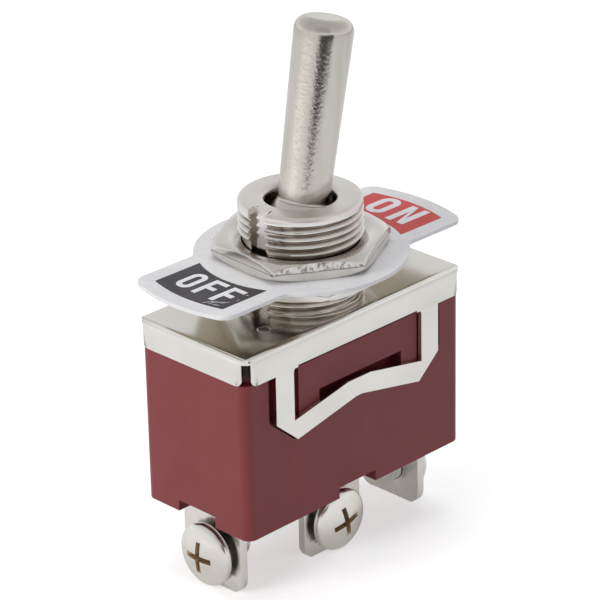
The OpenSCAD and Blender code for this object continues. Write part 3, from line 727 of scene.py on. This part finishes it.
def stake_mark(x, y, major, minor):
    """A small raised ring pressed in the cover's top."""
    bm = bmesh.new()
    n, k = 40, 10
    made = []
    for i in range(n):
        a = 2 * math.pi * i / n
        made.append([bm.verts.new(Vector((x + (major + minor * math.cos(b)) * math.cos(a),
                                          y + (major + minor * math.cos(b)) * math.sin(a),
                                          COVER_TOP - 0.04 + minor * 0.8 * math.sin(b))) * MM)
                     for b in (2 * math.pi * j / k for j in range(k))])
    for i in range(n):
        ring_faces(bm, made[(i + 1) % n], made[i])
    bmesh.ops.recalc_face_normals(bm, faces=bm.faces)
    add_object("stake_mark", bm, sheet_mat, "switch_body", (), 60)


cover = dressed("cover_frame", "cover_sheet", sheet_mat, 0.05, 2, 32, 30)
round_corners(cover, 1.6)
dressed("housing", "body_moulding", housing_mat, 0.11, 3, 40, 50)
plate = dressed("indicator_plate", "legend_plate", plate_mat, 0.07, 2, 40, 30)
# the downward faces get the dark underside colour: bare metal plus painted shade
plate.data.materials.append(underside_mat)
for face in plate.data.polygons:
    if face.normal.z < -0.7:
        face.material_index = 1
stake_mark(-8.7, -3.7, 0.62, 0.10)
for side in ("left", "middle", "right"):
    dressed("terminal_" + side, "terminal_strip_" + side, terminal_mat, 0.10, 2, 40, 30)

for node, mat in (("off_field", off_mat), ("on_field", on_mat), ("pivot_pin", steel_mat),
                  ("plunger", nylon_mat), ("plunger_spring", steel_mat), ("rocker", brass_mat),
                  ("rocker_contact_left", silver_mat), ("rocker_contact_right", silver_mat),
                  ("rocker_saddle", brass_mat),
                  ("fixed_contact_left", silver_mat), ("fixed_contact_right", silver_mat)):
    nodes[node].data.materials.clear()
    nodes[node].data.materials.append(mat)

# ------------------------------------------------------------------ screws


def make_head(side, turn):
    """Pan head with a cross recess, towards +Z; the terminal's outer face is at z = 0."""
    gap, rim, dome, head_r, dome_steps = SCREW_GAP, 0.75, 0.9, 3.2, 12
    dome_r = (head_r * head_r + dome * dome) / (2 * dome)
    top = gap + rim + dome
    profile = [(0, gap), (1.6, gap), (2.9, gap), (3.08, gap + 0.03), (3.17, gap + 0.12),
               (head_r, gap + 0.28), (head_r, gap + rim - 0.22), (head_r - 0.03, gap + rim - 0.1),
               (head_r - 0.12, gap + rim + 0.02)]
    start = math.degrees(math.asin((head_r - 0.3) / dome_r))
    for i in range(dome_steps):
        a = math.radians(start * (1 - i / dome_steps))
        profile.append((dome_r * math.sin(a), top - dome_r + dome_r * math.cos(a)))
    profile.append((0, top))
    bm = bmesh.new()
    revolved(bm, profile, 72)
    head = add_object("screw_head_" + side, bm, screw_mat, "switch_body", ("screw_" + side,), 35)
    # two tapered bars, from the recess's floor to above the head: z, half length, half width
    bar = ((top - 1.45, 0.75, 0.16), (top + 0.5, 2.15, 0.34))
    cut = bmesh.new()
    for a in (0, 90):
        spin = Matrix.Rotation(math.radians(turn + a), 3, "Z")
        corners = [[(-l, -w, z), (l, -w, z), (l, w, z), (-l, w, z)] for z, l, w in bar]
        capped(cut, rings(cut, [[spin @ Vector(p) for p in row] for row in corners]))
    cutter = mesh_object("cross_cut", cut)
    # the recess's walls take the painted shade colour
    cutter.data.materials.append(recess_shade_mat)
    cross = cut_with(head, cutter, "DIFFERENCE")
    cross.use_self = True
    cross.material_mode = "TRANSFER"
    apply_modifiers(head)
    add_bevel(head, 0.05, 2, 38)
    apply_modifiers(head)
    bpy.data.objects.remove(cutter)
    clean_mesh(head, 2e-6, False)
    shade(head, 35)
    return head


def make_shank(side):
    """Threaded shank behind the head, through the strip and into the body."""
    tail, columns, step = 0.9 + 2.8, 48, 0.07
    rows = []
    z = SCREW_GAP + 0.05
    while z > -tail + 0.45:
        angles = [2 * math.pi * i / columns for i in range(columns)]
        radii = [thread_radius(z, th, SCREW_PITCH, TAIL_R, TAIL_R - 0.3) for th in angles]
        rows.append([(r * math.cos(th), r * math.sin(th), z) for r, th in zip(radii, angles)])
        z -= step
    # the shank's rounded end: radius, distance from the end
    end = ((TAIL_R - 0.08, 0.42), (TAIL_R - 0.14, 0.3), (TAIL_R - 0.26, 0.12), (TAIL_R - 0.4, 0.03),
           (1.1, 0.0))
    rows += [circle_row(r, -tail + dz, columns) for r, dz in end]
    bm = bmesh.new()
    capped(bm, rings(bm, rows))
    return add_object("screw_shank_" + side, bm, screw_mat, "switch_body", (), 40)


def face_normal_frame(origin, normal):
    """Turns +Z to the given horizontal direction, keeping the piece's Y upright."""
    z = Vector(normal).normalized()
    y = Vector((0, 0, 1))
    x = y.cross(z)
    m = Matrix((x, y, z)).transposed().to_4x4()
    m.translation = Vector(origin) * MM
    return m


SCREWS = (("left", (-1, 0, 0), 0), ("middle", (0, -1, 0), 12), ("right", (1, 0, 0), 0))
for side, normal, turn in SCREWS:
    lo, hi = size("terminal_" + side)
    s_lo, s_hi = size("screw_" + side)
    mid_z = (s_lo.z + s_hi.z) / 2
    outer = {"left": (lo.x, 0, mid_z), "middle": (0, lo.y, mid_z), "right": (hi.x, 0, mid_z)}[side]
    for piece in (make_head(side, turn), make_shank(side)):
        piece.data.transform(face_normal_frame(outer, normal))
        piece.data.update()

# ------------------------------------------------------------------ lettering

PLATE_TURN = math.radians(-0.9)
LETTER_Z = size("indicator_plate")[1].z
LETTER_EDGE = 0.012


def letter(name, outlines):
    """Lettering from outlines in the reading frame: u to the right, v up; up is +X, right is -Y."""
    cu = bpy.data.curves.new(name, "CURVE")
    cu.dimensions = "2D"
    cu.fill_mode = "BOTH"
    cu.extrude = cu.bevel_depth = LETTER_EDGE * MM
    cu.bevel_resolution = 1
    cu.offset = -LETTER_EDGE * MM
    for pts in outlines:
        sp = cu.splines.new("POLY")
        sp.points.add(len(pts) - 1)
        for p, (u, v) in zip(sp.points, pts):
            p.co = (v * MM, -u * MM, 0, 1)
        sp.use_cyclic_u = True
    curve = link_object(name + "_curve", cu)
    me = evaluated_mesh(curve)
    bpy.data.objects.remove(curve)
    place = Matrix.Translation((0, 0, (LETTER_Z + 0.004) * MM))
    me.transform(place @ Matrix.Rotation(PLATE_TURN, 4, "Z"))
    me.materials.clear()
    me.materials.append(letter_mat)
    out = link_object(name, me)
    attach(out, "switch_body")


def letter_o(u0, u1, v0, v1, w):
    return [rounded_outline(u0, v0, u1, v1, (u1 - u0) / 2 - 0.02),
            rounded_outline(u0 + w, v0 + w, u1 - w, v1 - w, (u1 - u0) / 2 - w - 0.02)]


def letter_f(u0, u1, v0, v1, w):
    mid = (v0 + v1) / 2
    arm = u1 - 0.25
    return [[(u0, v0), (u0 + w, v0), (u0 + w, mid - w / 2), (arm, mid - w / 2), (arm, mid + w / 2),
             (u0 + w, mid + w / 2), (u0 + w, v1 - w), (u1, v1 - w), (u1, v1), (u0, v1)]]


def letter_n(u0, u1, v0, v1, w):
    slope = 1.55 * w
    return [[(u0, v0), (u0 + w, v0), (u0 + w, v1 - slope), (u1 - w, v0), (u1, v0), (u1, v1),
             (u1 - w, v1), (u1 - w, v0 + slope), (u0 + w, v1), (u0, v1)]]


letter("legend_off_1", letter_o(-2.95, -1.15, -13.85, -10.45, 0.56))
letter("legend_off_2", letter_f(-0.45, 1.35, -13.85, -10.45, 0.56))
letter("legend_off_3", letter_f(1.95, 3.7, -13.85, -10.45, 0.56))
letter("legend_on_1", letter_o(-2.75, -0.43, 10.80, 14.75, 0.74))
letter("legend_on_2", letter_n(0.62, 2.98, 10.65, 14.65, 0.76))


def scratch(u, v, turn, length, width=0.05):
    """A fine scratch through the print: a long thin diamond."""
    c, s = math.cos(math.radians(turn)), math.sin(math.radians(turn))
    return [(u + a * c - b * s, v + a * s + b * c) for a, b in
            ((-length / 2, 0), (0, -width / 2), (length / 2, 0), (0, width / 2))]


# u, v, turn in degrees, length
SCRATCHES = ((2.55, -14.25, 60, 1.3), (2.95, -14.1, 75, 1.1), (3.3, -13.7, 40, 1.4),
             (3.75, -13.4, 62, 0.9), (3.5, -14.3, 20, 0.8), (4.25, -12.2, 80, 0.35),
             (4.1, -10.9, 30, 0.3))
letter("legend_scratches", [scratch(*mark) for mark in SCRATCHES])

# ------------------------------------------------------------------ stage, light, camera


def camera():
    """The photo's camera. The angles are the view's direction and tilt, in degrees."""
    az, el, roll = math.radians(-44.73), math.radians(24.63), math.radians(-1.226)
    back = Vector((math.sin(az) * math.cos(el), -math.cos(az) * math.cos(el), math.sin(el)))
    right = Vector((math.cos(az), math.sin(az), 0))
    up = back.cross(right)
    tilted_right = math.cos(roll) * right + math.sin(roll) * up
    tilted_up = -math.sin(roll) * right + math.cos(roll) * up
    m = Matrix((tilted_right, tilted_up, back)).transposed().to_4x4()
    m.translation = Vector((-190.28, -191.76, 149.38)) * MM
    cam = bpy.data.cameras.new("camera")
    cam.lens = 186.73
    cam.sensor_width = 36
    cam.clip_start = 0.01
    cam.clip_end = 20
    ob = link_object("camera", cam)
    ob.matrix_world = m
    bpy.context.scene.camera = ob


def area(name, loc, w, h, power, color=(1, 1, 1)):
    """A soft lamp, turned to the switch, that lights the surfaces and does not show in the metal."""
    la = bpy.data.lights.new(name, "AREA")
    la.shape = "RECTANGLE"
    la.size, la.size_y = w, h
    la.energy = power
    la.color = color
    ob = link_object(name, la)
    ob.location = loc
    ob.rotation_euler = (LAMP_TARGET - Vector(loc)).to_track_quat("-Z", "Y").to_euler()
    ob.visible_glossy = False


def mirror_rays(nt):
    """The light path, and 1 for the rays that see the white room, 0 for those that light things."""
    path = nt.nodes.new("ShaderNodeLightPath").outputs
    total = path["Is Camera Ray"]
    for kind in ("Is Glossy Ray", "Is Transmission Ray"):
        total = calculate(nt, "MAXIMUM", total, path[kind])
    return path, total


def emission(nt):
    glow = nt.nodes.new("ShaderNodeEmission")
    glow.inputs["Color"].default_value = (1, 1, 1, 1)
    glow.inputs["Strength"].default_value = 1.0
    return glow


def world():
    """A soft sky lights the switch; the camera and the polished metal see a pale room instead."""
    w = bpy.data.worlds.new("studio")
    bpy.context.scene.world = w
    w.use_nodes = True
    nt = w.node_tree
    soft = nt.nodes["Background"]
    soft.inputs["Color"].default_value = (0.93, 0.95, 1.0, 1)
    soft.inputs["Strength"].default_value = SKY
    room = nt.nodes.new("ShaderNodeBackground")
    height = split(nt, "ShaderNodeTexCoord", "Generated")["Z"]
    nt.links.new(ramp(nt, height, ROOM), room.inputs["Color"])
    room.inputs["Strength"].default_value = 1.0
    mix = nt.nodes.new("ShaderNodeMixShader")
    nt.links.new(mirror_rays(nt)[1], mix.inputs["Fac"])
    nt.links.new(soft.outputs["Background"], mix.inputs[1])
    nt.links.new(room.outputs["Background"], mix.inputs[2])
    nt.links.new(mix.outputs["Shader"], nt.nodes["World Output"].inputs["Surface"])


def floor():
    """A matt floor that also glows for the camera and, less, in the metal."""
    half = 1.2
    bm = bmesh.new()
    corners = ((-half, -half, 0), (half, -half, 0), (half, half, 0), (-half, half, 0))
    bm.faces.new([bm.verts.new(p) for p in corners])
    ob = mesh_object("floor", bm)
    ob.location = (0, 0, -0.00005)
    m, nt, b = new_material("floor")
    b.inputs["Base Color"].default_value = (0.86, 0.86, 0.86, 1)
    b.inputs["Roughness"].default_value = 0.9
    b.inputs["Specular IOR Level"].default_value = 0.0
    glow = emission(nt)
    path, mirror = mirror_rays(nt)
    level = remap(nt, path["Is Camera Ray"], FLOOR_IN_METAL, FLOOR_IN_VIEW, 0, 1)
    nt.links.new(calculate(nt, "MULTIPLY", mirror, level), glow.inputs["Strength"])
    add = nt.nodes.new("ShaderNodeAddShader")
    nt.links.new(b.outputs["BSDF"], add.inputs[0])
    nt.links.new(glow.outputs["Emission"], add.inputs[1])
    nt.links.new(add.outputs["Shader"], nt.nodes["Material Output"].inputs["Surface"])
    ob.data.materials.append(m)
    ob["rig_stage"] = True


def flag(name, corners, level):
    """A card that only shows in polished surfaces; corners in mm, level is its brightness."""
    bm = bmesh.new()
    bm.faces.new([bm.verts.new(Vector(c) * MM) for c in corners])
    ob = mesh_object(name, bm)
    m, nt, _ = new_material(name)
    glow = emission(nt)
    glow.inputs["Color"].default_value = (level, level * 0.95, level * 0.9, 1)
    nt.links.new(glow.outputs["Emission"], nt.nodes["Material Output"].inputs["Surface"])
    ob.data.materials.append(m)
    for kind in ("camera", "diffuse", "transmission", "shadow", "volume_scatter"):
        setattr(ob, "visible_" + kind, False)
    ob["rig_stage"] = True


def ray_hit(start, az, plane_az, distance):
    """Where a level ray from start, in mm, meets the upright plane that faces it from plane_az."""
    d = direction(az, 0)
    n = direction(plane_az, 0)
    t = (distance - Vector(start).dot(n)) / d.dot(n)
    return Vector(start) + d * t


SKY = 0.30
# height in the room, colour
ROOM = [(0.0, (0.95, 0.95, 0.95)), (0.25, (0.88, 0.88, 0.88)), (0.45, (0.72, 0.72, 0.72)),
        (0.9, (0.60, 0.60, 0.60))]
FLOOR_IN_METAL = 0.18
FLOOR_IN_VIEW = 0.50
# in metres, as the lamps' own places and sizes are
LAMP_TARGET = Vector((0, 0, 0.02))
# the dark card's corners, seen level from the bushing's axis: azimuth, height in mm
DARK_SIDE = ((-151, 60), (-96, 60), (-97, 28), (-116, 27), (-125, 23), (-134, 23), (-140, 29),
             (-151, 37))
# where the dark card's plane lies: its azimuth, and its distance from the axis
DARK_SIDE_AZ = -123
DARK_SIDE_MM = 100
# the dim card's corners, seen from a point on the bushing's axis: azimuth, elevation
DIM_CEILING = ((-170, 28), (-98, 28), (-98, 62), (-170, 62))
DIM_CEILING_MM = 220
DIM_CEILING_FROM = Vector((0, 0, 30))

camera()
world()
floor()
# the dark part of the room beside the camera, which the lever shows as a streak
flag("dark_side", [ray_hit((0, 0, z), az, DARK_SIDE_AZ, DARK_SIDE_MM) for az, z in DARK_SIDE], 0.08)
# the dim part of the room above the camera
flag("dim_ceiling",
     [DIM_CEILING_FROM + direction(az, el) * DIM_CEILING_MM for az, el in DIM_CEILING], 0.52)
area("key_left", (-0.50, 0.12, 0.20), 0.30, 0.30, 1.70, (1.0, 0.98, 0.95))
area("fill_right", (0.05, -0.50, 0.25), 0.35, 0.30, 0.28, (1.0, 0.99, 0.98))
area("top", (0.05, 0.05, 0.55), 0.4, 0.4, 1.16)

bpy.context.scene.view_settings.view_transform = "Standard"

lo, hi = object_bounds()
